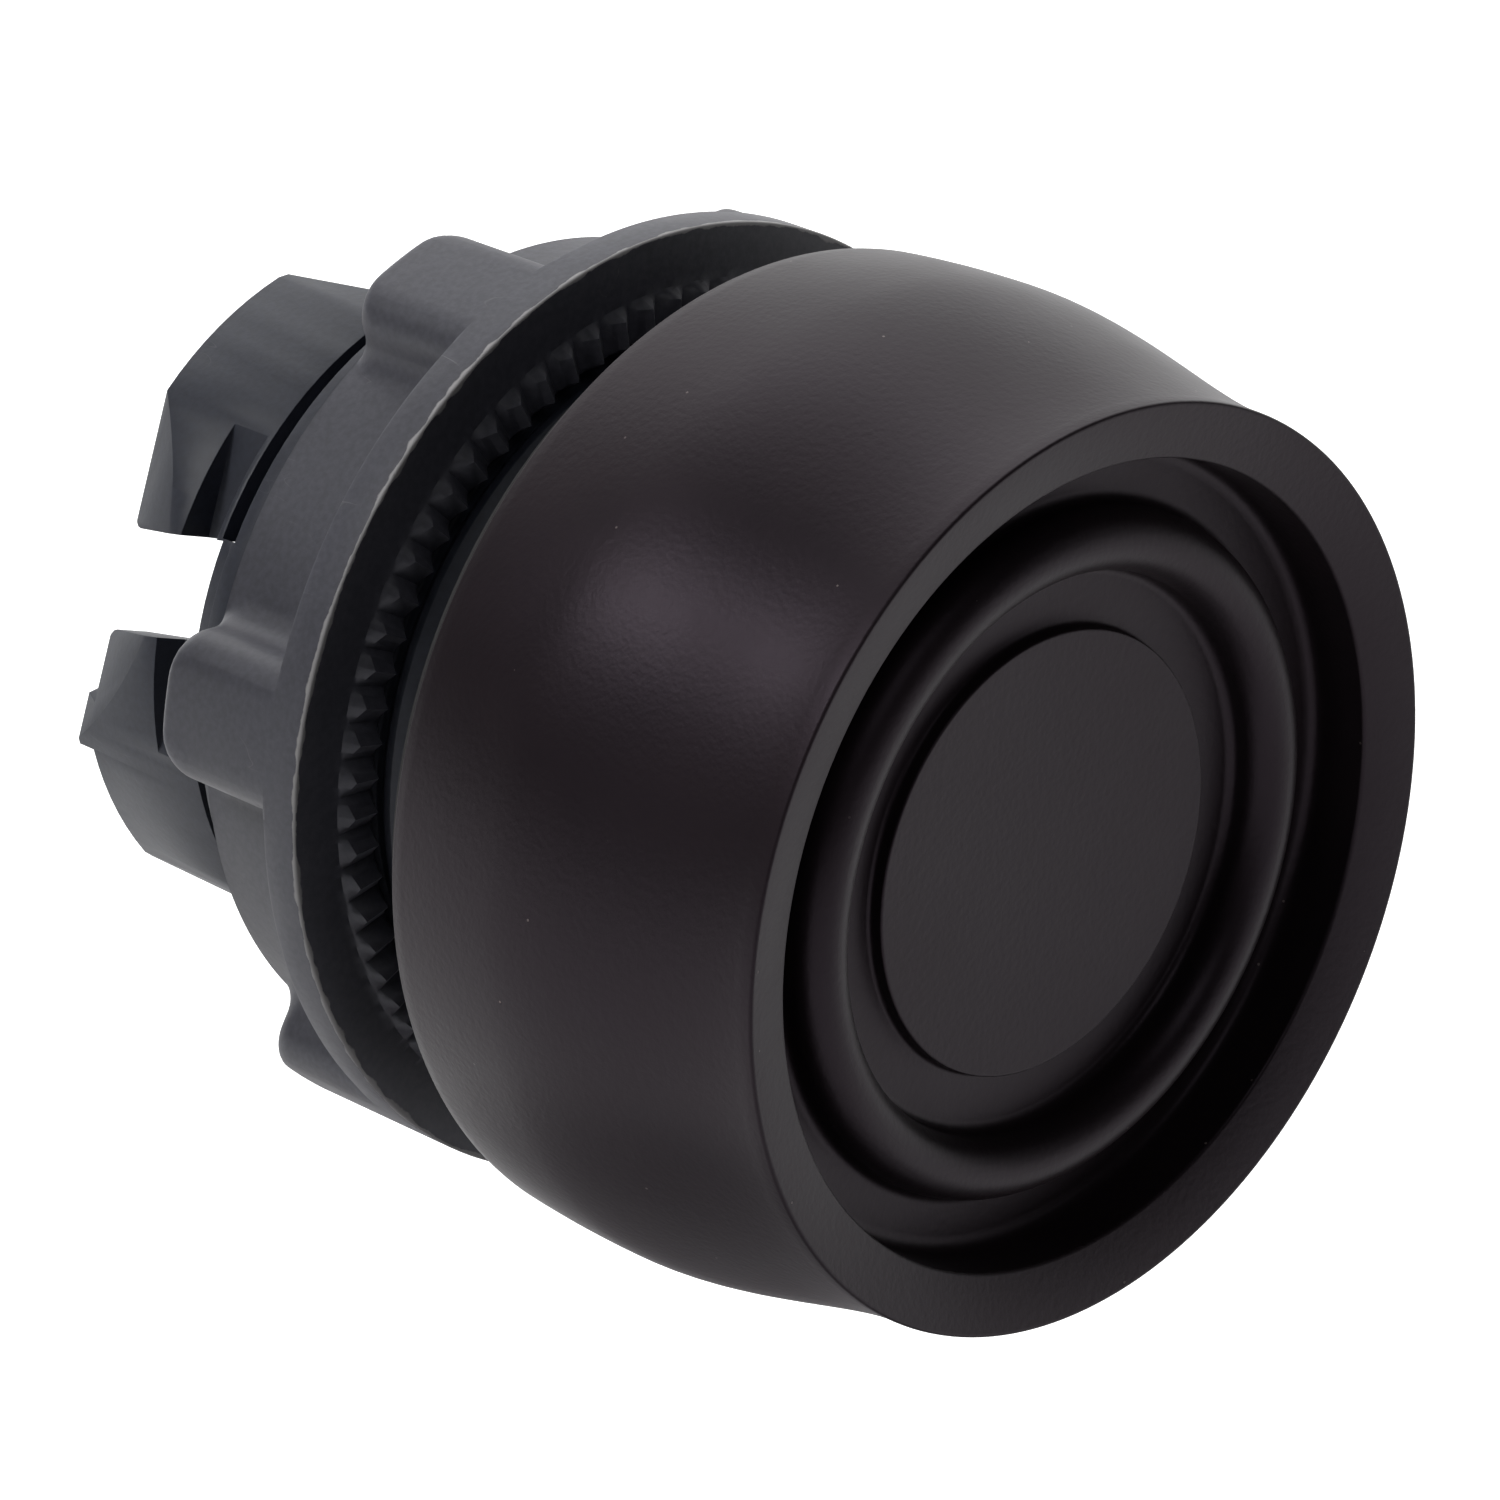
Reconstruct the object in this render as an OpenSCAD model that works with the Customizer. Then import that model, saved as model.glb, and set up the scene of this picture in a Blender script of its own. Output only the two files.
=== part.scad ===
// Booted push-button head for a round panel hole, with its fixing nut.
// The button's axis runs along Y: the boot faces -Y and the tail points to +Y.
// The origin is on that axis, in the plane of the panel's front face. All sizes are in mm.

/* [Barrel] */
// Diameter over the barrel's thread: everything round it follows this
barrel_d = 22.0; // [21.6:0.1:30]
// Height of the thread's ridges
thread_h = 0.42; // [0.38:0.02:0.56]
// Distance from one thread ridge to the next
thread_pitch = 1.5; // [1.3:0.1:1.8]
// Wall from the root of the thread to the bore that guides the button
barrel_wall = 1.78; // [1.5:0.02:1.9]
// Length of the barrel behind the panel's front face
barrel_end = 12.1; // [11.9:0.1:15]
// Length of the plain pilot behind the panel's front face
pilot_len = 0.5; // [0.3:0.1:0.7]
// Width of the key that stops the head turning in its panel hole
key_w = 2.8; // [2.4:0.1:3.1]
// Height of the key over the barrel
key_h = 1.2; // [0.8:0.1:1.6]
// How far the key reaches into the panel
key_len = 1.5; // [1:0.1:2]
// Width of the flange beyond the barrel
flange_w = 2.0; // [1.6:0.1:2.6]
// Thickness of the flange
flange_t = 1.5; // [1:0.1:1.8]
// Step from the flange's edge down to the collar
collar_step = 1.0; // [0.9:0.05:1.4]
// Wall of the collar inside the boot
collar_wall = 1.2; // [1:0.05:1.4]
// Thickness of the panel gasket
gasket_t = 0.7; // [0.5:0.1:1]
// Width of the panel gasket
gasket_w = 2.3; // [1.8:0.1:2.6]

/* [Boot] */
// Height of the boot's rim in front of the panel
head_height = 13.3; // [12.6:0.1:18]
// Thickness of the boot at its back edge, beyond the flange
foot_over = 1.3; // [1:0.05:2]
// How much the belly stands out beyond the back edge
belly_over = 0.2; // [0.1:0.05:1.5]
// How far the front rim stands in from the belly
rim_inset = 1.3; // [0.5:0.05:1.5]
// Distance from the panel to the widest ring
belly_height = 4.5; // [3.5:0.1:6]
// Width of the front rim
rim_w = 1.7; // [1.4:0.05:2]
// How far the rim's face is dished
rim_dish = 0.5; // [0:0.05:0.8]
// Depth of the two grooves below the rim
groove_depth = 2.4; // [2.1:0.1:3]
// Depth of the button face below the rim
face_depth = 1.94; // [1.5:0.02:2.1]
// Width of the outer groove, from the rim to the middle of the fold
outer_groove = 2.53; // [2.4:0.01:2.7]
// Width of the inner groove, from the middle of the fold to the face
inner_groove = 2.6; // [2.3:0.05:3]
// Width of the fold
fold_w = 1.8; // [1.4:0.05:2.2]
// Thickness of the rubber at the front
skin = 1.0; // [0.8:0.05:1.4]

/* [Button] */
// How far the button travels
travel = 4.0; // [2:0.1:4.8]
// Wall of the button's skirt
cap_wall = 1.1; // [0.8:0.05:1.15]
// Thickness of the button's face
cap_face = 1.6; // [1:0.1:2]
// How far the button's skirt reaches behind the panel's front face
cap_reach = 0.4; // [0:0.1:1]
// Space left between the pressed button and the web
web_gap = 1.1; // [0.6:0.1:1.5]
// Thickness of the web that guides the stem
web_t = 1.5; // [1:0.1:2]
// Diameter of the plunger's stem
stem_d = 8.6; // [7:0.1:10.4]
// How far the plunger's end lies in front of the tail's end
stem_short = 1.0; // [0:0.1:2]
// Diameter of the spring's wire
wire_d = 0.8; // [0.5:0.05:0.85]
// Space between the stem's socket and the spring
coil_gap = 0.75; // [0.4:0.05:0.8]
// Number of turns of the spring
coil_turns = 6; // [5:1:8]

/* [Tail] */
// How far the tail's surface lies below the thread's ridges
tail_drop = 0.6; // [0.56:0.02:0.8]
// Wall of the tail
tail_wall = 2.1; // [1.8:0.1:2.4]
// Length of the lugs behind the barrel
lug_len = 4.5; // [4:0.1:6]
// Angle of the narrow gap between two lugs, from straight up
lug_angle = -70.5; // [-180:0.5:180]
// Width of the narrow gap
narrow_gap = 3.0; // [2:0.1:4]
// How far the narrow gap leans along the barrel, in degrees
gap_lean = 10; // [0:1:15]
// Radius of the lugs' corners at the narrow gap
gap_corner = 0.5; // [0.2:0.05:0.8]
// Width of the wide gap where it starts
wide_gap = 8.3; // [7:0.1:9]
// How fast each side of the wide gap slopes away, in degrees
wide_slope = 16; // [0:1:25]
// Length of the pocket in front of a lug
pocket_len = 1.1; // [0.8:0.1:1.2]
// Depth of that pocket
pocket_depth = 1.1; // [0.6:0.1:1.3]
// Thickness of the rib between the pocket and the lock slot
rib_t = 0.2; // [0.2:0.05:0.5]
// Length of the lock slot
lock_len = 1.4; // [1:0.1:1.6]
// Depth of the lock slot at the narrow gap
lock_depth = 1.2; // [0.8:0.1:1.4]
// Height of the index tab behind one lug
tab_h = 0.6; // [0.3:0.1:1]

/* [Nut] */
// Gap between the panel's front face and the nut's teeth
panel_gap = 3.0; // [1:0.1:3.6]
// Width of the nut's flange and lobes beyond the barrel
nut_w = 3.0; // [2.6:0.1:6]
// Thickness of the nut's flange
nut_flange_t = 1.3; // [1:0.1:1.5]
// Wall of the nut between its lobes
nut_wall = 1.07; // [0.9:0.01:1.5]
// Length of the lobes
lobe_len = 4.4; // [3:0.1:4.8]
// Width of a lobe
lobe_w = 4.5; // [4:0.1:6]
// Number of lobes
lobes = 6; // [4:1:8]
// Angle of the first lobe, from straight up
nut_angle = -19.8; // [-180:0.2:180]
// Number of teeth on the nut's front
teeth = 72; // [60:6:84]
// Height of the teeth
tooth_h = 0.5; // [0.3:0.05:0.6]
// Width of the ring of teeth
teeth_w = 1.3; // [0.8:0.05:1.6]

/* [Fits] */
// Clearance of the button in its guide, and of the stem in its web
slide_gap = 0.06; // [0.03:0.01:0.1]
// Gap between pieces that are only placed beside each other
loose_gap = 0.1; // [0.05:0.05:0.2]
// Gap between parts of the boot that move apart
fold_gap = 0.3; // [0.2:0.05:0.4]
// Clearance on the thread's flanks and tips
thread_gap = 0.08; // [0.05:0.01:0.12]
// Clearance of the gasket round the barrel
gasket_gap = 0.3; // [0.1:0.05:0.5]

/* [Hidden] */

$fn = 96;
eps = 0.01;
rubber_black = "#1d1a1b";
plastic_grey = "#45464d";
plastic_black = "#26262a";
plastic_white = "#d9d8d0";
spring_steel = "#b9bcc0";

// Planes along the axis, measured from the panel's front face
rim_at = -head_height;
face_at = rim_at + face_depth;
groove_at = rim_at + groove_depth;
skin_back = groove_at + skin;
foot_at = -gasket_t;
flange_at = foot_at - flange_t;
belly_at = -belly_height;

// Radii that follow the barrel, from the thread outwards and inwards
barrel_r = barrel_d / 2;
root_r = barrel_r - thread_h;
guide_r = root_r - barrel_wall;
flange_r = barrel_r + flange_w;
collar_r = flange_r - collar_step;
collar_in_r = collar_r - collar_wall;
gasket_in_r = barrel_r + gasket_gap;
foot_r = flange_r + foot_over;
belly_r = foot_r + belly_over;
rim_r = belly_r - rim_inset;
mouth_r = rim_r - rim_w;
fold_mid_r = mouth_r - outer_groove;
face_r = fold_mid_r - inner_groove;

// The boot
boot_steps = 12;
face_edge = 0.12;
split_r = (face_r + fold_mid_r - fold_w / 2) / 2;
fold_out_r = fold_mid_r + fold_w / 2 + fold_gap;
shelf_in_r = fold_out_r + fold_gap;
groove_corner = 0.4;
clamp_w = 0.9;
clamp_at = flange_at - loose_gap;
clamp_len = 1.2;

// The button, its stem and its spring
cap_r = guide_r - slide_gap;
cap_in_r = cap_r - cap_wall;
cap_in_at = skin_back + cap_face;
stem_r = stem_d / 2;
web_at = cap_reach + travel + web_gap;
boss_in_r = stem_r + loose_gap / 2;
boss_wall = 0.8;
boss_r = boss_in_r + boss_wall;
boss_len = 2.0;
snap_depth = 0.5;
snap_r = stem_r - snap_depth;
snap_t = 0.8;
snap_w = 1.9;
snap_at = web_at + web_t + loose_gap;
slot_w = 1.6;
slot_len = 3.0;
coil_r = boss_r + coil_gap + wire_d / 2;
coil_sides = 8;
coil_steps = 24;
spring_len = web_at - cap_in_at;
seal_t = 0.6;
seal_lip_t = 0.5;
seal_h = 1.2;

// The thread: plain ridges, so that the nut turns freely where it sits, and a blunt last turn
ridge_tip = 0.25;
thread_start = 0.8;
pocket_at = barrel_end - rib_t - pocket_len;
land_len = 0.75;
land_rise = 0.1;
land_at = pocket_at - land_len;
thread_end = land_at - land_rise;
ridge_count = floor((thread_end - thread_start) / thread_pitch);

// The tail
tail_r = barrel_r - tail_drop;
tail_in_r = tail_r - tail_wall;
lug_end = barrel_end + lug_len;
pocket_from = asin(narrow_gap / 2 / tail_r) + 2;
gap_from = barrel_end - 1.25 * rib_t;
gap_steps = 5;
mouth_over = 0.1;
pocket_span = 50;
tab_from = 25;
tab_to = 33;
lead_tilt = 24.5;
lead_len = 2.85;
end_turn = 70;
end_depth = 0.3;

// The nut
nut_at = panel_gap + tooth_h;
nut_flange_back = nut_at + nut_flange_t;
lobe_step = 0.1;
lobe_back = nut_flange_back + lobe_len;
nut_back = lobe_back - lobe_step;
nut_r = barrel_r + nut_w;
nut_in_r = barrel_r + thread_gap;
nut_waist_r = nut_in_r + nut_wall;
lobe_corner = 1.1;
lobe_root = 0.5;
nut_edge = 0.15;
tooth_w = 0.92;

// Turns a shape drawn along Z so that it lies along the button's axis
module on_axis() {
    rotate([-90, 0, 0]) children();
}

// Turns a shape drawn along +X towards an angle measured from straight up
module at_angle(angle) {
    rotate([0, 0, angle - 90]) children();
}

// A ring turned about the axis, from one plane to another
module ring(from, to, r_in, r_out) {
    translate([0, 0, from]) difference() {
        cylinder(h = to - from, r = r_out);
        translate([0, 0, -eps]) cylinder(h = to - from + 2 * eps, r = r_in);
    }
}

// A solid disc or rod that starts at one plane
module cylinder_from(from, length, r) {
    translate([0, 0, from]) cylinder(h = length, r = r);
}

// Eased from 0 to 1, flat at both ends
function swell(s) = s * s * (3 - 2 * s);

// The boot's outside as [radius, place] points, from the rim to its back edge
function boot_side() = [
    for (i = [0 : boot_steps])
        let (s = i / boot_steps)
            [rim_r + rim_inset * swell(s), rim_at + (belly_at - rim_at) * s],
    for (i = [1 : boot_steps / 3])
        let (s = 3 * i / boot_steps)
            [belly_r - belly_over * s * s, belly_at + (foot_at - belly_at) * s]
];

// The boot's outer wall, rim and outer groove: one moulding with the fold and the face
module boot_skirt() {
    inner_r = collar_r + loose_gap;
    seat_r = flange_r + loose_gap;
    shoulder_at = clamp_at - clamp_len - loose_gap;
    color(rubber_black) on_axis() rotate_extrude() polygon(concat(
        [[mouth_r, rim_at + rim_dish]],
        boot_side(),
        [
            [seat_r, foot_at],
            [seat_r, shoulder_at],
            [inner_r, shoulder_at],
            [inner_r, skin_back],
            [shelf_in_r, skin_back],
            [shelf_in_r, groove_at],
            [mouth_r - groove_corner, groove_at],
            [mouth_r, groove_at - groove_corner]
        ]
    ));
}

// The rolling fold between the rim and the face
module boot_fold() {
    in_r = split_r + fold_gap / 2;
    color(rubber_black) on_axis() rotate_extrude() union() {
        translate([in_r, groove_at]) square([fold_out_r - in_r, skin]);
        translate([fold_mid_r - fold_w / 2, face_at]) square([fold_w, groove_at - face_at + eps]);
        translate([fold_mid_r, face_at]) circle(r = fold_w / 2);
    }
}

// The face of the boot, which the finger presses
module boot_face() {
    out_r = split_r - fold_gap / 2;
    color(rubber_black) on_axis() rotate_extrude() polygon([
        [0, face_at],
        [face_r - face_edge, face_at],
        [face_r, face_at + face_edge],
        [face_r, groove_at],
        [out_r, groove_at],
        [out_r, skin_back],
        [0, skin_back]
    ]);
}

// Hoop that holds the boot's foot on the collar, in front of the flange
module boot_clamp_ring() {
    in_r = collar_r + loose_gap;
    color(spring_steel) on_axis() ring(clamp_at - clamp_len, clamp_at, in_r, in_r + clamp_w);
}

// The button itself: a cup that slides in the barrel and carries the boot's face
module push_cap() {
    color(plastic_black) on_axis() {
        cylinder_from(skin_back, cap_face, cap_r);
        ring(cap_in_at - eps, cap_reach, cap_in_r, cap_r);
        ring(cap_in_at - eps, cap_in_at + boss_len, boss_in_r, boss_r);
    }
}

// The stem that carries the push to the contact block behind the panel
module plunger() {
    stem_end = lug_end - stem_short;
    color(plastic_white) on_axis() difference() {
        cylinder_from(cap_in_at, stem_end - cap_in_at, stem_r);
        ring(snap_at - loose_gap / 2, snap_at + snap_t + loose_gap / 2, snap_r, stem_r + 1);
        for (turn = [0, 90])
            rotate([0, 0, turn]) translate([-slot_w / 2, -stem_d, stem_end - slot_len])
                cube([slot_w, 2 * stem_d, slot_len + eps]);
    }
}

// A circle of the spring's wire, at one step along the helix
function wire_ring(step, steps) =
    let (
        turn = 360 * coil_turns * step / steps,
        rise = wire_d / 2 + (spring_len - wire_d) * step / steps
    ) [
        for (k = [0 : coil_sides - 1])
            let (a = 360 * k / coil_sides, r = coil_r + wire_d / 2 * cos(a))
                [r * cos(turn), r * sin(turn), cap_in_at + rise + wire_d / 2 * sin(a)]
    ];

// The coil spring between the button and the web
module return_spring() {
    steps = coil_turns * coil_steps;
    points = [for (i = [0 : steps]) each wire_ring(i, steps)];
    sides = [
        for (i = [0 : steps - 1], k = [0 : coil_sides - 1])
            let (a = i * coil_sides + k, b = i * coil_sides + (k + 1) % coil_sides)
                [a, b, b + coil_sides, a + coil_sides]
    ];
    first = [for (k = [coil_sides - 1 : -1 : 0]) k];
    last = [for (k = [0 : coil_sides - 1]) steps * coil_sides + k];
    color(spring_steel) on_axis() polyhedron(points, concat([first], sides, [last]));
}

// Open snap ring in the stem's groove, which stops the button at rest
module retaining_ring() {
    in_r = snap_r + loose_gap / 2;
    color(spring_steel) on_axis() difference() {
        ring(snap_at, snap_at + snap_t, in_r, in_r + snap_w);
        translate([-slot_w / 2, 0, snap_at - eps]) cube([slot_w, stem_d, snap_t + 2 * eps]);
    }
}

// Rubber wiper round the button, on the floor of the collar
module lip_seal() {
    color(rubber_black) on_axis() {
        ring(flange_at - seal_t, flange_at, guide_r, collar_in_r - loose_gap);
        ring(flange_at - seal_h, flange_at - seal_t + eps, guide_r, guide_r + seal_lip_t);
    }
}

// The thread's outline: ridges that stand on the root, as [radius, place] points
function ridges() = [
    for (i = [0 : ridge_count - 1])
        let (mid = thread_start + (i + 0.5) * thread_pitch, half = (thread_pitch - ridge_tip) / 2)
            each [
                [root_r, mid - half],
                [barrel_r, mid - ridge_tip / 2],
                [barrel_r, mid + ridge_tip / 2],
                [root_r, mid + half]
            ]
];

// The body as it is turned: collar, flange, pilot, threaded barrel, tail and web
module body_blank() {
    front = skin_back + loose_gap;
    lead = 0.4;
    rotate_extrude() polygon(concat(
        [
            [collar_in_r, front],
            [collar_r - lead, front],
            [collar_r, front + lead],
            [collar_r, flange_at],
            [flange_r, flange_at],
            [flange_r, foot_at],
            [barrel_r, foot_at],
            [barrel_r, pilot_len],
            [root_r, thread_start]
        ],
        ridges(),
        [
            [root_r, thread_end],
            [barrel_r, land_at],
            [barrel_r, pocket_at + land_rise],
            [tail_r, pocket_at + land_rise + tail_drop / 2],
            [tail_r, lug_end],
            [tail_in_r, lug_end],
            [tail_in_r, web_at + web_t],
            [stem_r + slide_gap, web_at + web_t],
            [stem_r + slide_gap, web_at],
            [guide_r, web_at],
            [guide_r, flange_at],
            [collar_in_r, flange_at]
        ]
    ));
}

// One point on a side of the narrow gap, as [across, along]: the side leans, and rounds off at the lug's end
function gap_point(side, i) =
    let (
        turn = 90 * (i - 1) / (gap_steps - 1),
        far = i > gap_steps,
        mouth = lug_end + mouth_over,
        along = i == 0 ? gap_from : far ? mouth + 1 : mouth - gap_corner * (1 - sin(turn)),
        open = i == 0 ? 0 : far ? gap_corner : gap_corner * (1 - cos(turn))
    ) [side * (narrow_gap / 2 + open) - tan(gap_lean) * (along - barrel_end - lock_len), along];

// What is cut from a pair of lugs, with the narrow gap between them along +X
module lug_pair_cuts() {
    reach = 2 * tail_r;
    // The narrow gap
    rotate([90, 0, 90]) linear_extrude(reach) polygon([
        for (i = [0 : gap_steps + 1]) gap_point(1, i),
        for (i = [gap_steps + 1 : -1 : 0]) gap_point(-1, i)
    ]);
    // The lock slot, with its flat floor across both lugs
    translate([tail_r - lock_depth, -tail_r, barrel_end]) cube([reach, reach, lock_len]);
    // The slope that leads a claw in over both lugs
    translate([tail_r, 0, lug_end - lead_len]) rotate([0, -lead_tilt, 0])
        translate([0, -tail_r, -tail_r]) cube([reach, reach, reach]);
    for (side = [-1, 1]) {
        // The pocket in front of the lug
        rotate([0, 0, side > 0 ? pocket_from : -pocket_from - pocket_span])
            rotate_extrude(angle = pocket_span)
                translate([tail_r - pocket_depth, pocket_at]) square([reach, pocket_len]);
        // The flat at the lug's far end
        rotate([0, 0, side * end_turn]) translate([tail_r - end_depth, -tail_r, barrel_end - rib_t / 2])
            cube([reach, reach, reach]);
    }
}

// The wide gap between the pairs, with its sides sloping away, along +X
module wide_gap_cut() {
    long = 2 * lug_len;
    spread = long * tan(wide_slope);
    rotate([90, 0, 90]) linear_extrude(2 * tail_r) polygon([
        [-wide_gap / 2, barrel_end],
        [wide_gap / 2, barrel_end],
        [wide_gap / 2 + spread, barrel_end + long],
        [-wide_gap / 2 - spread, barrel_end + long]
    ]);
}

// The key on the barrel's top, along +X, or the notch that clears it by a gap
module key_block(gap, from) {
    translate([root_r - eps, -key_w / 2 - gap, from - eps])
        cube([thread_h + key_h + gap + eps, key_w + 2 * gap, key_len - from + gap + eps]);
}

// The moulded body: collar for the boot, flange, threaded barrel and bayonet tail
module head_body() {
    color(plastic_grey) on_axis() difference() {
        union() {
            body_blank();
            // The index tab behind one lug
            at_angle(lug_angle - tab_to) rotate_extrude(angle = tab_to - tab_from)
                translate([tail_in_r + tail_wall / 2, lug_end - eps])
                    square([tail_wall / 2, tab_h + eps]);
            // The key in the panel hole's notch
            at_angle(0) key_block(0, foot_at);
        }
        for (turn = [0, 180]) {
            at_angle(lug_angle + turn) lug_pair_cuts();
            at_angle(lug_angle + turn + 90) wide_gap_cut();
        }
    }
}

// The flat rubber ring between the flange and the panel, notched for the key
module panel_gasket() {
    color(rubber_black) on_axis() difference() {
        ring(foot_at, 0, gasket_in_r, gasket_in_r + gasket_w);
        at_angle(0) key_block(gasket_gap, foot_at - 1);
    }
}

// The nut as it is turned, with ridges that lie in the barrel's grooves
module nut_blank() {
    half = (thread_pitch - ridge_tip) / 2 - 2 * thread_gap;
    first = ceil((nut_at + half - thread_start) / thread_pitch);
    last = floor((nut_back - half - thread_start) / thread_pitch);
    tip_r = root_r + thread_gap;
    inside = [
        for (i = [last : -1 : first])
            let (mid = thread_start + i * thread_pitch)
                each [
                    [nut_in_r, mid + half],
                    [tip_r, mid + ridge_tip / 4],
                    [tip_r, mid - ridge_tip / 4],
                    [nut_in_r, mid - half]
                ]
    ];
    rotate_extrude() polygon(concat(
        [
            [nut_in_r, nut_at],
            [nut_r, nut_at],
            [nut_r, nut_flange_back],
            [nut_waist_r, nut_flange_back],
            [nut_waist_r, nut_back - nut_edge],
            [nut_waist_r - nut_edge, nut_back],
            [nut_in_r, nut_back]
        ],
        inside
    ));
}

// One grip lobe, seen along the axis
module lobe_outline() {
    start = nut_waist_r - lobe_root;
    flank = nut_r - lobe_corner - start;
    intersection() {
        circle(r = nut_r);
        union() {
            translate([start, -lobe_w / 2]) square([flank, lobe_w]);
            translate([start, lobe_corner - lobe_w / 2]) square([nut_r, lobe_w - 2 * lobe_corner]);
            for (side = [-1, 1])
                translate([nut_r - lobe_corner, side * (lobe_w / 2 - lobe_corner)])
                    circle(r = lobe_corner);
        }
    }
}

// The ring of sharp teeth that bites the back of the panel
module tooth_ring() {
    out_r = nut_in_r + teeth_w;
    difference() {
        ring(panel_gap, nut_at + eps, nut_in_r, out_r);
        for (i = [0 : teeth - 1])
            rotate([0, 0, i * 360 / teeth]) translate([nut_in_r - 1, 0, panel_gap])
                rotate([90, 0, 90]) linear_extrude(teeth_w + 2) polygon([
                    [-tooth_w / 2, -eps],
                    [0, tooth_h],
                    [tooth_w / 2, -eps]
                ]);
    }
}

// The fixing nut: flange, grip lobes and a ring of teeth towards the panel
module fixing_nut() {
    color(plastic_grey) on_axis() union() {
        nut_blank();
        for (i = [0 : lobes - 1])
            at_angle(nut_angle + i * 360 / lobes)
                translate([0, 0, nut_flange_back - eps]) linear_extrude(lobe_len + eps) lobe_outline();
        tooth_ring();
    }
}

boot_skirt();
boot_fold();
boot_face();
boot_clamp_ring();
push_cap();
plunger();
return_spring();
retaining_ring();
lip_seal();
head_body();
panel_gasket();
fixing_nut();
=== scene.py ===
import math

import bmesh
import bpy
import numpy as np
from mathutils import Matrix, Vector


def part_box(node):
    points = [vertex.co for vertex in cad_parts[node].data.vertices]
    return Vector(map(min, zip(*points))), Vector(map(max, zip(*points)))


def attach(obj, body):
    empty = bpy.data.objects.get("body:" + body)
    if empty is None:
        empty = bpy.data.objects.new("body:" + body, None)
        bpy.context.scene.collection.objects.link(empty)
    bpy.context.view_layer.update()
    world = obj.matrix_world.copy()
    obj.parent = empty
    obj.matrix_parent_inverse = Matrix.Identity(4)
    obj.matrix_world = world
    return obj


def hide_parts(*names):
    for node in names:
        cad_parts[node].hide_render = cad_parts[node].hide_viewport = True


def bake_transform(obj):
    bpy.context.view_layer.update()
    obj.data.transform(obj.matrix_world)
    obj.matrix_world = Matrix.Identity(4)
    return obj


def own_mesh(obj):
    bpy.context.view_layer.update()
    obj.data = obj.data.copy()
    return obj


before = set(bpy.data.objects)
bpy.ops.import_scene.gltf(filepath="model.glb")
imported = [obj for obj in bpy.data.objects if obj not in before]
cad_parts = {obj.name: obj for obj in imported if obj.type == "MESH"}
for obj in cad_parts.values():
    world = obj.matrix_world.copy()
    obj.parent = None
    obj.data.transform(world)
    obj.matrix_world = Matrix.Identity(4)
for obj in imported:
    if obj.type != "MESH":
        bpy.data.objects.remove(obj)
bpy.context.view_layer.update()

# ---------------------------------------------------------------------------
# Camera. A long lens looks down on the head from its front left, so the boot's
# face, the nut's lobes and the bayonet tail are all in view.

MM = 0.001
SENSOR_W, LENS, NEAREST = 36.0, 183.02, 0.01
CAMERA_AT = (-138.73, -139.10, 85.51)
CAMERA_WAY = (0.64702, 0.64866, -0.40076)
CAMERA_UP = (0.2830, 0.2837, 0.9162)


def look(position, forward, up):
    """The camera's axes as the columns of a turn: right, up and backwards, then its place."""
    back = -Vector(forward).normalized()
    right = Vector(up).cross(back).normalized()
    turn = Matrix((right, back.cross(right), back)).transposed()
    return Matrix.Translation(Vector(position) * MM) @ turn.to_4x4()


camera = bpy.data.objects.new("camera", bpy.data.cameras.new("camera"))
camera.data.sensor_width, camera.data.lens, camera.data.clip_start = SENSOR_W, LENS, NEAREST
camera.matrix_world = look(CAMERA_AT, CAMERA_WAY, CAMERA_UP)
bpy.context.scene.collection.objects.link(camera)
bpy.context.scene.camera = camera

# ---------------------------------------------------------------------------
# The moulded body: collar, flange, threaded barrel and bayonet tail in one shot
# of glass-filled nylon. The tool leaves its edges very slightly rounded.


def linear(hex_colour, alpha=1.0):
    """An sRGB hex colour as linear red, green, blue and alpha."""
    parts = np.array([int(hex_colour[i:i + 2], 16) for i in (1, 3, 5)]) / 255.0
    low, high = parts / 12.92, ((parts + 0.055) / 1.055) ** 2.4
    return (*np.where(parts <= 0.04045, low, high), alpha)


def add(tree, kind, links=None, **settings):
    """Adds one node: settings are its sockets' values or its own properties, links go to its sockets."""
    made = tree.nodes.new("ShaderNode" + kind)
    for name, value in settings.items():
        if hasattr(made, name):
            setattr(made, name, value)
    for key, value in (links or {}).items():
        socket = made.inputs[key]
        if isinstance(value, bpy.types.NodeSocket):
            tree.links.new(value, socket)
        else:
            socket.default_value = value
    return made


def new_material(name):
    """A material with a Principled shader joined to its output, as (material, tree, shader)."""
    material = bpy.data.materials.new(name)
    material.use_nodes = True
    tree = material.node_tree
    return material, tree, tree.nodes["Principled BSDF"]


def ramp(tree, source, stops):
    """Turns a 0 to 1 value into colours or greys at the given places."""
    made = add(tree, "ValToRGB", {"Fac": source})
    points = made.color_ramp.elements
    while len(points) < len(stops):
        points.new(0.5)
    for point, (place, colour) in zip(points, stops):
        point.position = place
        point.color = colour if len(colour) == 4 else (*colour, 1.0)
    return made.outputs["Color"]


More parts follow.
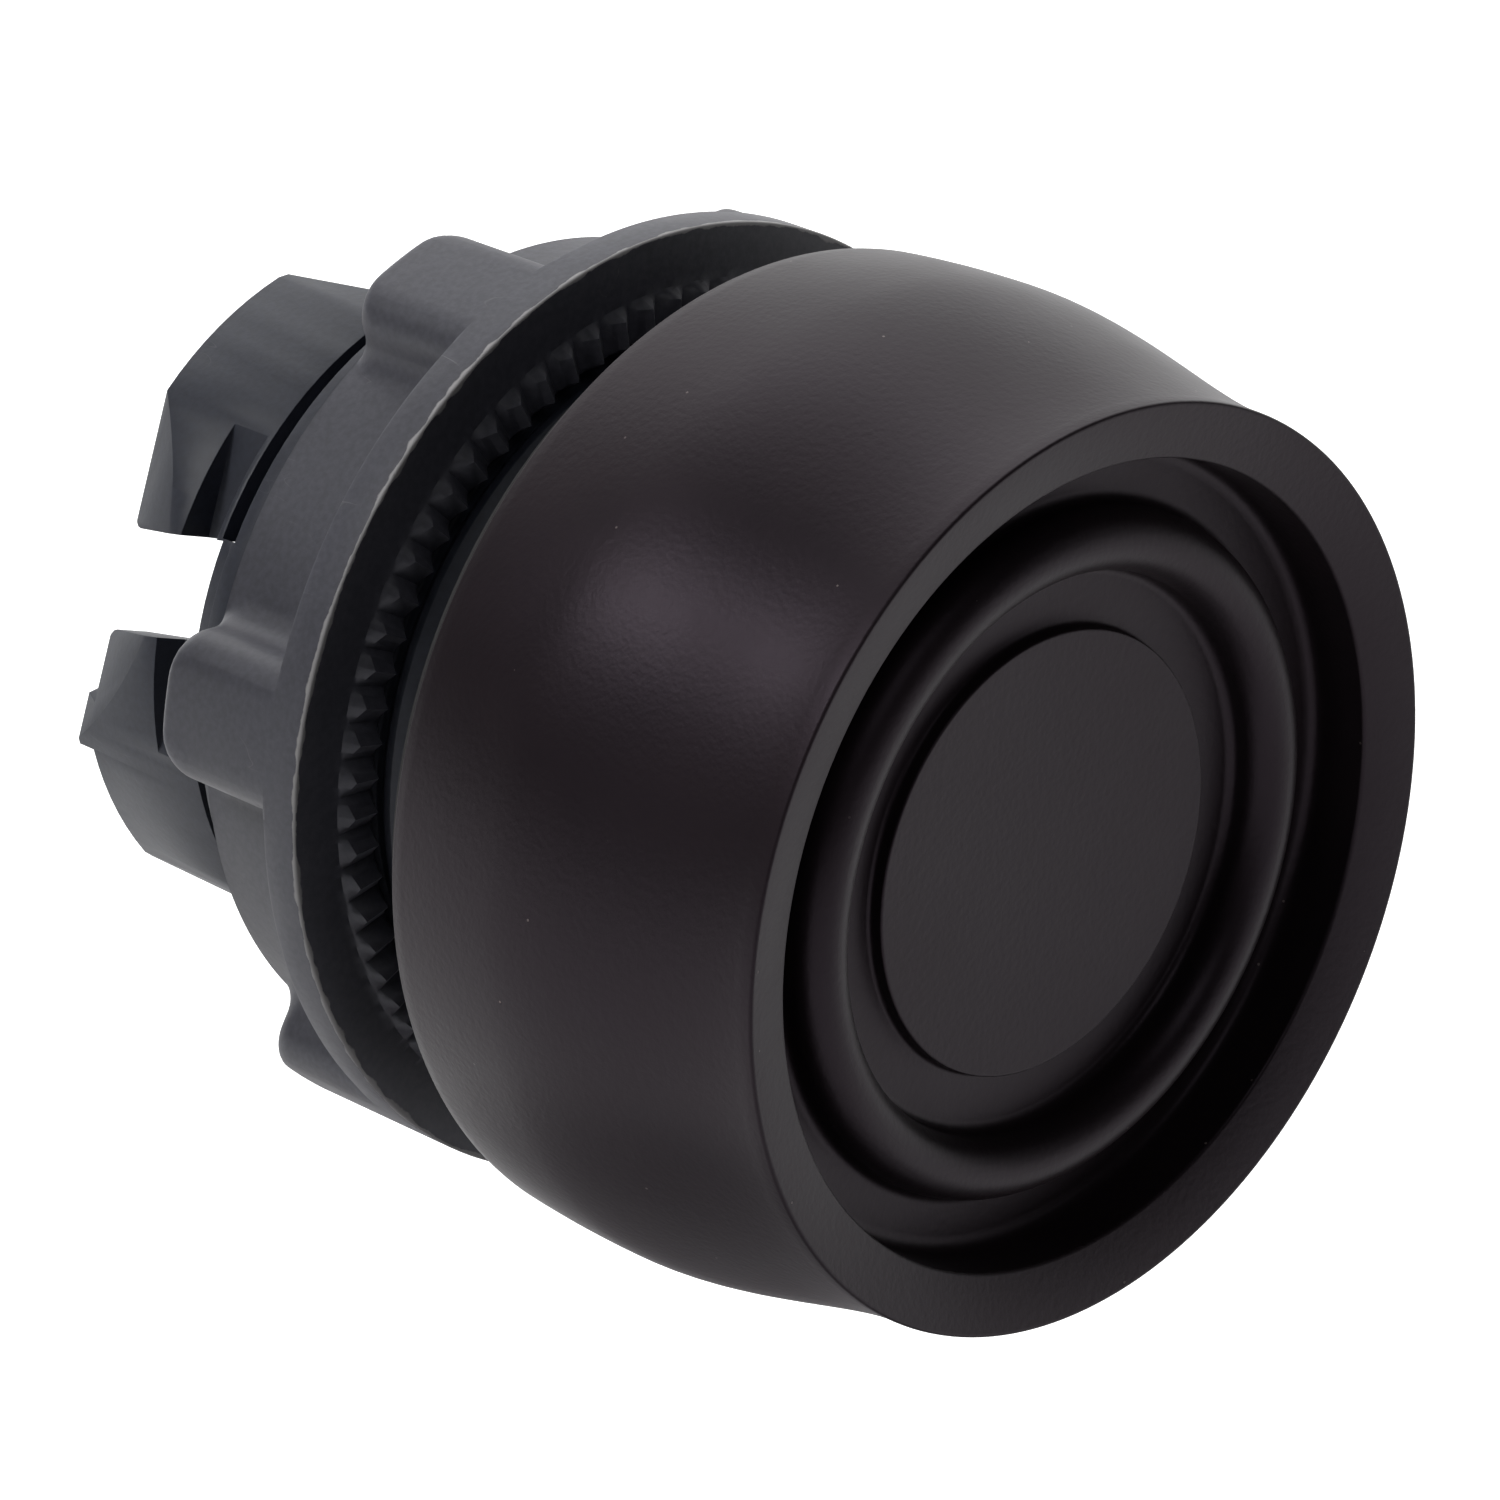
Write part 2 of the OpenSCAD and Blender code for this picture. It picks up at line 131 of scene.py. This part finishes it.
def glass_filled_nylon(name, base, light, worn, edge=None):
    """Moulded nylon: a dull skin with a fine grain, faint cloudy patches and thin pale scuffs. An edge, given
    as its radius and length in mm, is rubbed to a pale line that widens into nicks."""
    material, tree, shader = new_material(name)
    place = add(tree, "TexCoord").outputs["Object"]
    clouds = add(tree, "TexNoise", {"Vector": place, "Scale": 1 / (6 * MM), "Detail": 4.0}).outputs["Fac"]
    grain = add(tree, "TexNoise", {"Vector": place, "Scale": 1 / (0.2 * MM), "Detail": 3.0}).outputs["Fac"]
    skin = add(tree, "Mix", {"Factor": ramp(tree, clouds, [(0.3, (0, 0, 0)), (0.75, (1, 1, 1))]),
                             "A": linear(base), "B": linear(light)}, data_type="RGBA")
    speckle = ramp(tree, grain, [(0.35, (0.86, 0.86, 0.86)), (0.68, (1.12, 1.12, 1.12))])
    spotted = add(tree, "Mix", {"Factor": 1.0, "A": skin.outputs["Result"], "B": speckle},
                  data_type="RGBA", blend_type="MULTIPLY")
    # Scuffs: thin lines where a stretched noise crosses its middle, kept to a few patches
    bent = add(tree, "Mapping", {"Vector": place, "Rotation": (0.5, 0.9, 0.3), "Scale": (1.0, 0.22, 1.0)})
    waves = add(tree, "TexNoise", {"Vector": bent.outputs[0], "Scale": 1 / (1.3 * MM), "Detail": 2.0,
                                   "Distortion": 0.6}).outputs["Fac"]
    lines = ramp(tree, waves, [(0.497, (0, 0, 0)), (0.500, (1, 1, 1)), (0.503, (0, 0, 0))])
    spread = add(tree, "TexNoise", {"Vector": place, "Scale": 1 / (3.1 * MM), "Detail": 2.0}).outputs["Fac"]
    where = ramp(tree, spread, [(0.60, (0, 0, 0)), (0.72, (0.22, 0.22, 0.22))])
    marks = add(tree, "Math", {0: lines, 1: where}, operation="MULTIPLY").outputs[0]
    if edge:
        # Distance from the edge's circle, over a reach that noise makes wider at the nicks
        edge_r, edge_at = edge
        apart = add(tree, "SeparateXYZ", {0: place}).outputs
        flat = add(tree, "CombineXYZ", {0: apart["X"], 1: apart["Z"]})
        out = add(tree, "VectorMath", {0: flat.outputs[0]}, operation="LENGTH").outputs["Value"]
        off = add(tree, "CombineXYZ", {
            0: add(tree, "Math", {0: out, 1: edge_r * MM}, operation="SUBTRACT").outputs[0],
            1: add(tree, "Math", {0: apart["Y"], 1: edge_at * MM}, operation="SUBTRACT").outputs[0]})
        away = add(tree, "VectorMath", {0: off.outputs[0]}, operation="LENGTH").outputs["Value"]
        chips = add(tree, "TexNoise", {"Vector": place, "Scale": 1 / (0.9 * MM),
                                       "Detail": 6.0}).outputs["Fac"]
        reach = add(tree, "MapRange", {"Value": chips, "From Min": 0.42, "From Max": 0.78,
                                       "To Min": 0.045 * MM, "To Max": 0.2 * MM})
        share = add(tree, "Math", {0: away, 1: reach.outputs["Result"]}, operation="DIVIDE").outputs[0]
        line = add(tree, "MapRange", {"Value": share, "From Min": 1.15, "From Max": 0.75,
                                      "To Min": 0.0, "To Max": 0.8})
        marks = add(tree, "Math", {0: marks, 1: line.outputs["Result"]}, operation="MAXIMUM").outputs[0]
    finish = add(tree, "Mix", {"Factor": marks, "A": spotted.outputs["Result"], "B": linear(worn)},
                 data_type="RGBA")
    tree.links.new(finish.outputs["Result"], shader.inputs["Base Color"])
    rough = add(tree, "MapRange", {"Value": clouds, "From Min": 0.3, "From Max": 0.7,
                                   "To Min": 0.46, "To Max": 0.58})
    tree.links.new(rough.outputs["Result"], shader.inputs["Roughness"])
    shader.inputs["IOR"].default_value = 1.53
    shader.inputs["Specular IOR Level"].default_value = 0.36
    bump = add(tree, "Bump", {"Height": grain, "Strength": 0.22, "Distance": 0.03 * MM})
    tree.links.new(bump.outputs["Normal"], shader.inputs["Normal"])
    return material


body_nylon = glass_filled_nylon("glass filled nylon, body", "#242732", "#2a2d38", "#7f8089")


EDGE_W, EDGE_ANGLE = 0.09, 28


def merged_copy(node, name):
    """A CAD node's mesh as one closed skin, its loose triangles joined at their corners."""
    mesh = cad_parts[node].data.copy()
    mesh.name = name
    piece = bpy.data.objects.new(name, mesh)
    bpy.context.scene.collection.objects.link(piece)
    skin = bmesh.new()
    skin.from_mesh(mesh)
    bmesh.ops.remove_doubles(skin, verts=skin.verts, dist=0.002 * MM)
    bmesh.ops.dissolve_degenerate(skin, edges=skin.edges, dist=0.001 * MM)
    bmesh.ops.dissolve_limit(skin, angle_limit=math.radians(0.5), verts=skin.verts, edges=skin.edges)
    skin.to_mesh(mesh)
    skin.free()
    return piece


def soften(piece, width, angle):
    """Rounds every edge sharper than the angle in degrees by the width in mm, and shades the rest smooth."""
    piece.data.polygons.foreach_set("use_smooth", np.ones(len(piece.data.polygons), bool))
    edge = piece.modifiers.new("moulded edge", "BEVEL")
    edge.width, edge.segments, edge.limit_method = width * MM, 2, "ANGLE"
    edge.angle_limit = math.radians(angle)
    edge.use_clamp_overlap = True
    edge.harden_normals = True
    return piece


def dress(piece, material):
    """Gives the piece its one material."""
    piece.data.materials.clear()
    piece.data.materials.append(material)


body = soften(merged_copy("head_body", "moulded_body"), EDGE_W, EDGE_ANGLE)
dress(body, body_nylon)
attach(body, "head")
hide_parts("head_body")

# ---------------------------------------------------------------------------
# The works inside the barrel: a black nylon button, a natural acetal stem, a
# zinc-plated steel spring and snap ring, and a nitrile lip seal. They are
# hidden, apart from the stem and snap ring, which show through the tail.

TRAVEL, WIRE_R, COIL_TURNS = 4.0, 0.4, 6


def moulded_plastic(name, base, roughness, grain_mm, depth):
    """An unfilled moulded plastic: one colour with a faint flow pattern and a fine spark-eroded grain."""
    material, tree, shader = new_material(name)
    place = add(tree, "TexCoord").outputs["Object"]
    flow = add(tree, "TexNoise", {"Vector": place, "Scale": 1 / (4 * MM), "Detail": 3.0}).outputs["Fac"]
    grain = add(tree, "TexNoise", {"Vector": place, "Scale": 1 / (grain_mm * MM), "Detail": 2.0})
    shade = ramp(tree, flow, [(0.3, (0.88, 0.88, 0.88)), (0.7, (1.0, 1.0, 1.0))])
    colour = add(tree, "Mix", {"Factor": 1.0, "A": linear(base), "B": shade},
                 data_type="RGBA", blend_type="MULTIPLY")
    tree.links.new(colour.outputs["Result"], shader.inputs["Base Color"])
    rough = add(tree, "MapRange", {"Value": flow, "From Min": 0.3, "From Max": 0.7,
                                   "To Min": roughness - 0.04, "To Max": roughness + 0.06})
    tree.links.new(rough.outputs["Result"], shader.inputs["Roughness"])
    bump = add(tree, "Bump", {"Height": grain.outputs["Fac"], "Strength": 0.2, "Distance": depth * MM})
    tree.links.new(bump.outputs["Normal"], shader.inputs["Normal"])
    return material


def plated_steel(name, base, line_mm):
    """Zinc-plated spring steel: bright, with fine drawing lines and a little tarnish."""
    material, tree, shader = new_material(name)
    place = add(tree, "TexCoord").outputs["Object"]
    lines = add(tree, "TexNoise", {"Vector": place, "Scale": 1 / (line_mm * MM),
                                   "Detail": 6.0}).outputs["Fac"]
    colour = ramp(tree, lines, [(0.3, linear(base)), (0.7, linear("#d6d8d6"))])
    tree.links.new(colour, shader.inputs["Base Color"])
    shader.inputs["Metallic"].default_value = 1.0
    rough = add(tree, "MapRange", {"Value": lines, "To Min": 0.22, "To Max": 0.42})
    tree.links.new(rough.outputs["Result"], shader.inputs["Roughness"])
    return material


def closed_piece(name, points, faces):
    """A shaded mesh from points and four-cornered faces, doubles merged and faces turned outwards."""
    mesh = bpy.data.meshes.new(name)
    mesh.from_pydata(points.tolist(), [], faces.tolist())
    skin = bmesh.new()
    skin.from_mesh(mesh)
    bmesh.ops.remove_doubles(skin, verts=skin.verts, dist=1e-7)
    bmesh.ops.recalc_face_normals(skin, faces=skin.faces)
    skin.to_mesh(mesh)
    skin.free()
    mesh.shade_smooth()
    mesh.set_sharp_from_angle(angle=math.radians(35))
    piece = bpy.data.objects.new(name, mesh)
    bpy.context.scene.collection.objects.link(piece)
    return piece


def coil(name, coil_r, wire_r, front, back, turns, steps=288, sides=12):
    """Round wire wound as a helix: while turn a goes from 0 to 2 pi times the turns, the wire's middle goes
    evenly from front to back at (r sin a, y, r cos a). Its circle closes to a point at each end."""
    along = np.r_[0, np.linspace(0, 1, steps), 1][:, None]
    wire = np.r_[0, np.full(steps, wire_r), 0][:, None]
    k = np.linspace(0, 2 * np.pi, sides, endpoint=False)
    a = 2 * np.pi * turns * along
    r = coil_r + wire * np.cos(k)
    y = front + wire_r + (back - front - 2 * wire_r) * along + wire * np.sin(k)
    points = np.stack((r * np.sin(a), y, r * np.cos(a)), -1).reshape(-1, 3) * MM
    row = np.arange(steps + 1)[:, None] * sides
    here, beside = np.arange(sides)[None], np.roll(np.arange(sides), -1)[None]
    faces = np.stack((row + here, row + beside, row + sides + beside, row + sides + here), -1)
    return closed_piece(name, points, faces.reshape(-1, 4))


acetal = moulded_plastic("natural acetal", "#dcdad0", 0.36, 0.4, 0.01)
black_nylon = moulded_plastic("black nylon", "#28282b", 0.5, 0.3, 0.02)
nitrile = moulded_plastic("nitrile rubber", "#1c1b1c", 0.72, 0.25, 0.02)
steel = plated_steel("zinc-plated spring steel", "#a9acb0", 0.5)
for node, material in (("plunger", acetal), ("push_cap", black_nylon), ("lip_seal", nitrile),
                       ("retaining_ring", steel), ("boot_clamp_ring", steel)):
    dress(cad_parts[node], material)

# The spring is one fixed coil, carried with the head
spring_front, spring_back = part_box("return_spring")
spring = coil("return_coil", spring_back.x / MM - WIRE_R, WIRE_R,
              spring_front.y / MM, spring_back.y / MM, COIL_TURNS)
dress(spring, steel)
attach(spring, "head")
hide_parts("return_spring")
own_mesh(spring)

# ---------------------------------------------------------------------------
# The boot: one silicone moulding with a broad rim, a rolling fold and a flat
# face over the button. It comes out of a polished tool that was dusted matte,
# so it is nearly black with a soft sheen and fine pale dust in its folds.

RIM, BELLY, FACE, FLOOR = -13.3, -4.5, -11.36, -10.9
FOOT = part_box("boot_skirt")[1].y / MM
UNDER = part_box("boot_face")[1].y / MM
BELLY_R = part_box("boot_skirt")[1].x / MM
RIM_R, MOUTH_R, FOLD_R, BEAD_R, FACE_R = 13.2, 11.5, 8.95, 0.9, 6.37
ROOT_R = FOLD_R + BEAD_R + 0.35
GROOVE_R = FACE_R + 0.3
HEEL_IN, FLANK_R, FOOT_W, CLEAR = 0.2, 0.3, 1.0, 0.1


def arc(centre, radius, start, end, steps):
    """Points on a circle in the radius and length plane, between two angles in degrees."""
    a = np.radians(np.linspace(start, end, steps + 1))
    return np.column_stack((centre[0] + radius * np.cos(a), centre[1] + radius * np.sin(a)))


def rounded(corners, radii, steps=4):
    """A closed outline whose corners are replaced by curves: each runs from one side of the corner to the
    other, a radius away, and follows (1 - t)^2 a + 2 t (1 - t) corner + t^2 b."""
    corners, out = np.asarray(corners, float), []
    t = np.linspace(0, 1, steps + 1)[:, None]
    for i, (corner, radius) in enumerate(zip(corners, radii)):
        if radius == 0:
            out.append(corner[None])
            continue
        sides = corners[i - 1] - corner, corners[(i + 1) % len(corners)] - corner
        a, b = (corner + side * min(radius / np.hypot(*side), 0.49) for side in sides)
        out.append((1 - t) ** 2 * a + 2 * t * (1 - t) * corner + t ** 2 * b)
    return np.vstack(out)


def round_skin(name, r, y, a):
    """A skin of rows and columns that both close on themselves: a point of radius r and length y in metres,
    at turn a in radians, goes to (r sin a, y, r cos a)."""
    points = np.stack((r * np.sin(a), y, r * np.cos(a)), -1).reshape(-1, 3)
    row = np.arange(len(y))[:, None] * len(a)
    next_row = np.roll(row, -1, axis=0)
    here, beside = np.arange(len(a))[None], np.roll(np.arange(len(a)), -1)[None]
    faces = np.stack((row + here, next_row + here, next_row + beside, row + beside), -1)
    return closed_piece(name, points, faces.reshape(-1, 4))


def turned(name, outline, turns=192):
    """A closed outline in the radius and length plane, in mm, turned about the button's axis. Points on the
    axis are joined into one."""
    outline = np.asarray(outline, float) * MM
    a = np.linspace(0, 2 * np.pi, turns, endpoint=False)
    return round_skin(name, outline[:, 0, None] + 0 * a, outline[:, 1, None] + 0 * a, a)


def silicone(name):
    """Matte black silicone: warm near-black, a soft broad sheen, cloudy handling marks, fine pale dust specks
    and a skin of shallow pits about a fifth of a millimetre apart, drawn coarser than the real skin."""
    material, tree, shader = new_material(name)
    place = add(tree, "TexCoord").outputs["Object"]
    cloud = add(tree, "TexNoise", {"Vector": place, "Scale": 1 / (9 * MM), "Detail": 4.0,
                                   "Roughness": 0.6}).outputs["Fac"]
    pits = add(tree, "TexNoise", {"Vector": place, "Scale": 1 / (0.2 * MM), "Detail": 2.0}).outputs["Fac"]
    tone = ramp(tree, cloud, [(0.32, linear("#161114")), (0.70, linear("#1d1619"))])
    cells = add(tree, "TexVoronoi", {"Vector": place, "Scale": 1 / (0.55 * MM)})
    dust = add(tree, "Math", {0: cells.outputs["Distance"], 1: 0.07}, operation="LESS_THAN").outputs[0]
    few = add(tree, "Math", {0: ramp(tree, cells.outputs["Color"], [(0.80, (0, 0, 0)), (0.84, (1, 1, 1))]),
                             1: dust}, operation="MULTIPLY").outputs[0]
    dusty = add(tree, "Mix", {"Factor": few, "A": tone, "B": linear("#6f6664")}, data_type="RGBA")
    tree.links.new(dusty.outputs["Result"], shader.inputs["Base Color"])
    rough = add(tree, "MapRange", {"Value": cloud, "From Min": 0.3, "From Max": 0.7,
                                   "To Min": 0.38, "To Max": 0.46})
    tree.links.new(rough.outputs["Result"], shader.inputs["Roughness"])
    shader.inputs["IOR"].default_value = 1.43
    shader.inputs["Specular IOR Level"].default_value = 0.22
    shader.inputs["Specular Tint"].default_value = (0.97, 0.80, 0.97, 1.0)
    bump = add(tree, "Bump", {"Height": pits, "Strength": 0.3, "Distance": 0.03 * MM})
    tree.links.new(bump.outputs["Normal"], shader.inputs["Normal"])
    return material


rubber = silicone("matte black silicone")


def boot_piece(name, outline):
    """One stretch of the boot: turned, dressed in silicone and given its name."""
    piece = turned(name, outline)
    dress(piece, rubber)
    return piece


# The outside swells from rim to belly as 3 t^2 - 2 t^3, then draws in as t^2 to the back edge
t = np.linspace(0, 1, 49)[1:, None]
swell = np.hstack((RIM_R + (BELLY_R - RIM_R) * (3 * t ** 2 - 2 * t ** 3), RIM + (BELLY - RIM) * t))
t = np.linspace(0, 1, 17)[1:-1, None]
heel = np.hstack((BELLY_R - HEEL_IN * t ** 2, BELLY + (FOOT - BELLY) * t))
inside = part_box("head_body")[1].x / MM + CLEAR
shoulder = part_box("boot_clamp_ring")[0].y / MM - CLEAR
skirt_corners = rounded(
    [(RIM_R, RIM), (BELLY_R - HEEL_IN, FOOT), (inside, FOOT), (inside, shoulder),
     (inside - FOOT_W, shoulder), (inside - FOOT_W, UNDER), (ROOT_R, UNDER), (ROOT_R, FLOOR),
     (MOUTH_R, FLOOR), (MOUTH_R, RIM + 0.5)],
    [0.12, 0.12, 0, 0, 0, 0, 0, 0, 0.45, 0.1])
# The rim's outer corner is the first 5 points; the outside goes in after it
split = 5
skirt = boot_piece("boot_wall", np.vstack((skirt_corners[:split], swell[2:], heel, skirt_corners[split:])))
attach(skirt, "head")

# The fold is a hollow bead, turned as two pieces: its outer flank and its inner flank
outer = np.vstack((
    arc((FOLD_R, FACE), BEAD_R, -90, 0, 24)[:-1],
    arc((FOLD_R + BEAD_R + FLANK_R, FLOOR - FLANK_R), FLANK_R, 180, 90, 6),
    [(ROOT_R, FLOOR), (ROOT_R, UNDER), (FOLD_R, UNDER)]))
inner = np.vstack((
    arc((FOLD_R, FACE), BEAD_R, -90, -180, 24)[:-1],
    arc((FOLD_R - BEAD_R - FLANK_R, FLOOR - FLANK_R), FLANK_R, 0, 90, 6),
    [(GROOVE_R, FLOOR), (GROOVE_R, UNDER), (FOLD_R, UNDER)]))
fold_out = boot_piece("boot_fold_outer_flank", outer)
fold_in = boot_piece("boot_fold_inner_flank", inner)
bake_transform(fold_out)
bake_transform(fold_in)

face = boot_piece("boot_face_pad", np.vstack((
    [(0, FACE)], rounded([(FACE_R, FACE), (FACE_R, FLOOR), (GROOVE_R, FLOOR), (GROOVE_R, UNDER), (0, UNDER)],
                         [0.1, 0.2, 0, 0, 0]))))
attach(face, "button")
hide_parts("boot_skirt")
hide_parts("boot_fold")
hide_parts("boot_face")

# ---------------------------------------------------------------------------
# The panel gasket: a flat ring stamped from nitrile sheet, pushed over the barrel.

dress(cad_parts["panel_gasket"], nitrile)

# ---------------------------------------------------------------------------
# The fixing nut: the same nylon as the body, with a ring of sharp teeth that bites
# the panel, and six lobes to grip. Its front edge is rubbed pale and nicked.

NUT_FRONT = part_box("fixing_nut")[0].y / MM
NUT_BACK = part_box("fixing_nut")[1].y / MM
NUT_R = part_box("fixing_nut")[1].x / MM
BORE_R, WAIST_R, LOBE_HALF, LOBE_FILLET, LOBE_CORNER = 11.08, 12.15, 2.19, 1.0, 1.1
TEETH, TOOTH, TOOTH_TURN = 72, 0.5, 1.0
LOBES, FIRST_LOBE, LOBE_CLOSE, LOBE_DRAW, TIP_DROP = 6, -19.8, 0.9, 0.9, 0.35
FLANGE_T, FLANGE_EDGE, WEAR_IN = 1.3, 0.10, 0.03
nut_nylon = glass_filled_nylon("glass filled nylon, nut", "#414149", "#4a4a53", "#aeacac",
                               (NUT_R - WEAR_IN, NUT_FRONT + TOOTH + WEAR_IN))


def lobe_radius(a, half, tip):
    """The nut's radius at angle a from a lobe's middle, in radians: an arc at the tip, a corner arc, a flat
    flank, a hollow arc and the waist, each found where a line from the axis meets it."""
    a = np.abs(a)
    corner = np.minimum(LOBE_CORNER, half * 0.98)
    hollow_x = np.sqrt((WAIST_R + LOBE_FILLET) ** 2 - (half + LOBE_FILLET) ** 2)
    corner_x = np.sqrt((tip - corner) ** 2 - (half - corner) ** 2)
    along = corner_x * np.cos(a) + (half - corner) * np.sin(a)
    round_r = along + np.sqrt(np.maximum(along ** 2 - (tip - corner) ** 2 + corner ** 2, 0))
    across = hollow_x * np.cos(a) + (half + LOBE_FILLET) * np.sin(a)
    hollow_r = across - np.sqrt(np.maximum(across ** 2 - (WAIST_R + LOBE_FILLET) ** 2 + LOBE_FILLET ** 2, 0))
    return np.select([a <= np.arctan2(half - corner, corner_x), a <= np.arctan2(half, corner_x),
                      a <= np.arctan2(half, hollow_x), a <= np.arctan2(half + LOBE_FILLET, hollow_x)],
                     [tip + 0 * a, round_r, half / np.sin(np.maximum(a, 1e-3)), hollow_r], WAIST_R)


def nut_angles():
    """Turns for the nut's columns: four to a tooth, and close together along each lobe's flanks."""
    teeth = np.arange(TEETH * 4) / 4 * 360 / TEETH - TOOTH_TURN
    flank = np.concatenate((np.linspace(-17, -7, 34), np.linspace(-6, 6, 9), np.linspace(7, 17, 34)))
    lobes = (FIRST_LOBE + np.arange(LOBES)[:, None] * 360 / LOBES + flank).ravel()
    both = np.unique(np.round(np.concatenate((teeth, lobes)) % 360, 3))
    return np.radians(both[np.append(np.diff(both) > 0.04, True)])


def nut_surface(a):
    """The nut's skin in mm, as rows of (radius, length) at turns a. Rows run from the bore's front over the
    teeth, the flange, the lobes and their ends, and back through the bore. A tooth is a triangle wave of the
    turn; a lobe's flanks draw in over its last 0.9 mm, as a quarter circle."""
    tooth = TOOTH * (1 - np.abs(((np.degrees(a) + TOOTH_TURN) * TEETH / 360) % 1 * 2 - 1))
    apart = 360 / LOBES
    near = np.radians((np.degrees(a) - FIRST_LOBE + apart / 2) % apart - apart / 2)
    flange = NUT_FRONT + TOOTH
    back, lobe_end, corner = flange + FLANGE_T, NUT_BACK, LOBE_CLOSE
    one = np.ones_like(a)
    rows = [(BORE_R * one, (flange + 0.15) * one), ((BORE_R + 0.1) * one, flange * one),
            ((BORE_R + 0.16) * one, flange - 0.55 * tooth), ((BORE_R + 0.3) * one, flange - tooth),
            (12.20 * one, flange - tooth), (12.36 * one, flange - 0.25 * tooth), (12.42 * one, flange * one),
            (12.7 * one, flange * one), (13.4 * one, flange * one)]
    for r, y in rounded([(13.0, flange), (NUT_R, flange), (NUT_R, back)], [0, FLANGE_EDGE, 0], 4)[1:-1]:
        rows.append((r * one, y * one))
    rows.append((NUT_R * one, (flange + 0.6) * one))
    full = lobe_radius(near, LOBE_HALF * one, NUT_R)
    for share, y in ((1.0, back - 0.12), (0.985, back - 0.03), (0.93, back), (0.5, back), (0.12, back),
                     (0.04, back + 0.04), (0.0, back + 0.14)):
        rows.append((full + share * (NUT_R - full), y * one))
    for y in np.concatenate((np.linspace(back + 0.5, lobe_end - corner, 5),
                             lobe_end - corner * (1 - np.sin(np.linspace(0.15, 1.5, 10))))):
        s = np.clip((y - lobe_end + corner) / corner, 0, 1)
        q = np.clip((y - lobe_end + TIP_DROP) / TIP_DROP, 0, 1)
        half = LOBE_HALF - corner * (1 - np.sqrt(1 - s ** 2)) * LOBE_DRAW
        tip = NUT_R - TIP_DROP * (1 - np.sqrt(1 - q ** 2))
        rows.append((lobe_radius(near, half * one, tip), y * one))
    last = rows[-1][0]
    for share, y in ((0.8, lobe_end), (0.3, lobe_end), (0.06, lobe_end - 0.02)):
        rows.append((WAIST_R + share * (last - WAIST_R), y * one))
    for r, y in ((WAIST_R - 0.02, lobe_end - 0.1), (WAIST_R - 0.06, lobe_end - 0.05),
                 (WAIST_R - 0.14, lobe_end - 0.03), (11.3, lobe_end - 0.03), (BORE_R, lobe_end - 0.2),
                 (BORE_R, lobe_end - 2.2), (BORE_R, flange + 2.2)):
        rows.append((r * one, y * one))
    return np.array(rows)


turns = nut_angles()
skin = nut_surface(turns) * MM
nut = round_skin("toothed_nut", skin[:, 0], skin[:, 1], turns)
dress(nut, nut_nylon)
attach(nut, "nut")
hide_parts("fixing_nut")

# ---------------------------------------------------------------------------
# The studio: a white floor and wall, softboxes behind the part to the left and
# above, weaker ones in front, and a dim room, which keeps the rubber black.


def paper(name, size, place, turn, glow):
    """A flat sheet of white paper that glows enough to stay white."""
    bpy.ops.mesh.primitive_plane_add(size=size, location=place, rotation=turn)
    sheet = bpy.context.object
    sheet.name = name
    material, tree, shader = new_material("white paper, " + name)
    shader.inputs["Base Color"].default_value = (0.9, 0.9, 0.9, 1.0)
    shader.inputs["Roughness"].default_value = 0.9
    shader.inputs["Emission Color"].default_value = (1.0, 1.0, 1.0, 1.0)
    shader.inputs["Emission Strength"].default_value = glow
    dress(sheet, material)
    return sheet


# The floor is kept from filling the shadows, as black cards beside the part would
paper("floor", 8.0, (0, 0, -0.06), (0, 0, 0), 0.72).visible_diffuse = False
paper("wall", 3.0, (0.9, 0.9, 1.4), (math.radians(90), 0, math.radians(-45)), 1.6)

# Painted shade: a grey disc under the part stands in for the part's own shadow on the floor, and only shows
# in what the part's underside reflects
bpy.ops.mesh.primitive_circle_add(vertices=64, radius=0.046, fill_type="NGON", location=(0, 0, -0.055))
pad = bpy.context.object
pad.name = "pad"
material, tree, shader = new_material("painted shade under the part")
shader.inputs["Base Color"].default_value = (0.42, 0.40, 0.42, 1.0)
shader.inputs["Roughness"].default_value = 1.0
dress(pad, material)
pad.visible_camera = pad.visible_shadow = False

room = bpy.data.worlds.new("room")
bpy.context.scene.world = room
room.use_nodes = True
backdrop = room.node_tree.nodes["Background"].inputs
backdrop["Color"].default_value, backdrop["Strength"].default_value = (1.0, 1.0, 1.0, 1.0), 0.02


def softbox(name, direction, distance, size, power):
    """A square area light that stands in that direction from the part and faces it."""
    light = bpy.data.lights.new(name, "AREA")
    light.size, light.energy = size, power
    lamp = bpy.data.objects.new(name, light)
    bpy.context.scene.collection.objects.link(lamp)
    way = Vector(direction).normalized()
    lamp.location = way * distance
    lamp.rotation_euler = way.to_track_quat("Z", "Y").to_euler()


for name, direction, distance, size, power in (
        ("softbox_key", (-0.63, 0.33, 0.70), 0.6, 0.15, 1.5),
        ("softbox_top", (0.25, 0.45, 1.0), 0.7, 0.5, 1.2),
        ("softbox_left", (-1.0, 0.1, 0.30), 0.8, 0.35, 0.35),
        ("softbox_front", (-0.35, -0.60, 0.72), 0.7, 0.3, 0.4),
        ("softbox_right", (0.9, -0.8, 0.2), 0.9, 0.5, 0.3)):
    softbox(name, direction, distance, size, power)
bpy.context.scene.view_settings.view_transform = "Standard"
